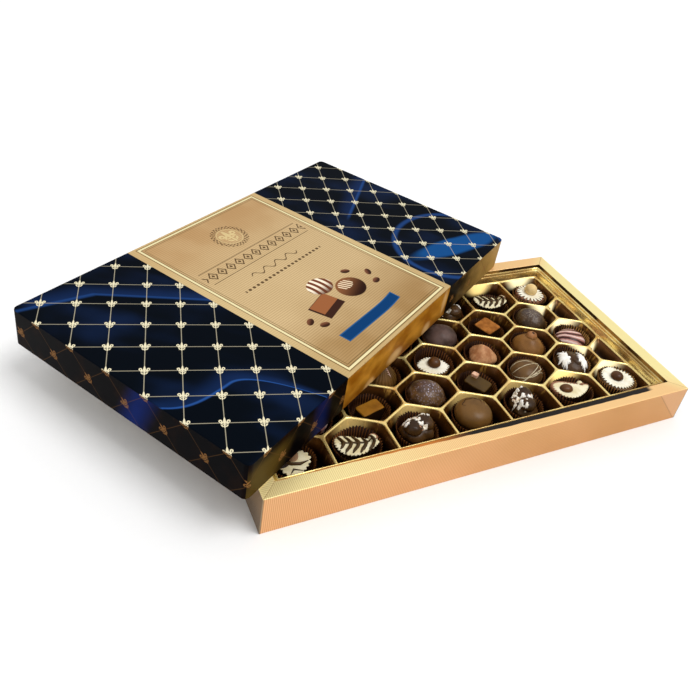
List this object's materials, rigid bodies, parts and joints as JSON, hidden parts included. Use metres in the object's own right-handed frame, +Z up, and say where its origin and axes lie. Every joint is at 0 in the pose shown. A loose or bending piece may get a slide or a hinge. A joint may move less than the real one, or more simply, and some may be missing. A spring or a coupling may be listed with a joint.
{
  "type": "box of chocolate pralines",
  "caption": "Flat gold card tray of assorted pralines in paper cups in a honeycomb foil insert, with its dark blue patterned lid lying loose across one end.",
  "frame": {"origin": "middle of the footprint of tray and lid together, on the surface the tray stands on", "axes": "+X along the tray's long front edge, left to right; +Y from the tray's front to its back; +Z up"},
  "size_m": [0.454, 0.3522, 0.0593],
  "materials": {
    "gold_card": "pale gold foil board with fine embossed ribs",
    "gold_foil": "bright gold metallised plastic",
    "printed_card": "glossy printed board, dark blue with gold",
    "dark_chocolate": "satin",
    "milk_chocolate": "satin",
    "cream_filling": "satin"
  },
  "bodies": {
    "root": {"a1_almond_cream": "cream_filling", "a2_zebra_drop": "dark_chocolate", "a3_nut_cluster": "dark_chocolate", "a4_capped_ball": "milk_chocolate", "a5_nut_cluster": "dark_chocolate", "a6_cream_bean": "cream_filling", "a7_cream_round": "cream_filling", "b1_striped_dome": "milk_chocolate", "b2_golden_block": "milk_chocolate", "b3_speckled_dome": "dark_chocolate", "b4_square_block": "dark_chocolate", "b5_drizzled_dome": "dark_chocolate", "b6_white_patch": "dark_chocolate", "c1_cream_round": "cream_filling", "c2_cocoa_diamond": "milk_chocolate", "c3_ribbed_cone": "milk_chocolate", "c4_cream_lens": "cream_filling", "c5_milk_trefoil": "milk_chocolate", "c6_nut_dome": "milk_chocolate", "c7_striped_dome": "milk_chocolate", "d1_nut_dome": "milk_chocolate", "d2_white_patch": "dark_chocolate", "d3_cream_bean": "cream_filling", "d4_plum_dome": "dark_chocolate", "d5_cocoa_diamond": "milk_chocolate", "d6_star_dome": "dark_chocolate", "e1_capped_ball": "milk_chocolate", "e2_drizzled_dome": "dark_chocolate", "e3_cream_lens": "cream_filling", "e4_square_block": "dark_chocolate", "e5_nut_cluster": "dark_chocolate", "e6_zebra_drop": "dark_chocolate", "e7_cream_peak": "cream_filling", "insert": "gold_foil", "lid": "printed_card", "tray": "gold_card"}
  },
  "joints": []
}
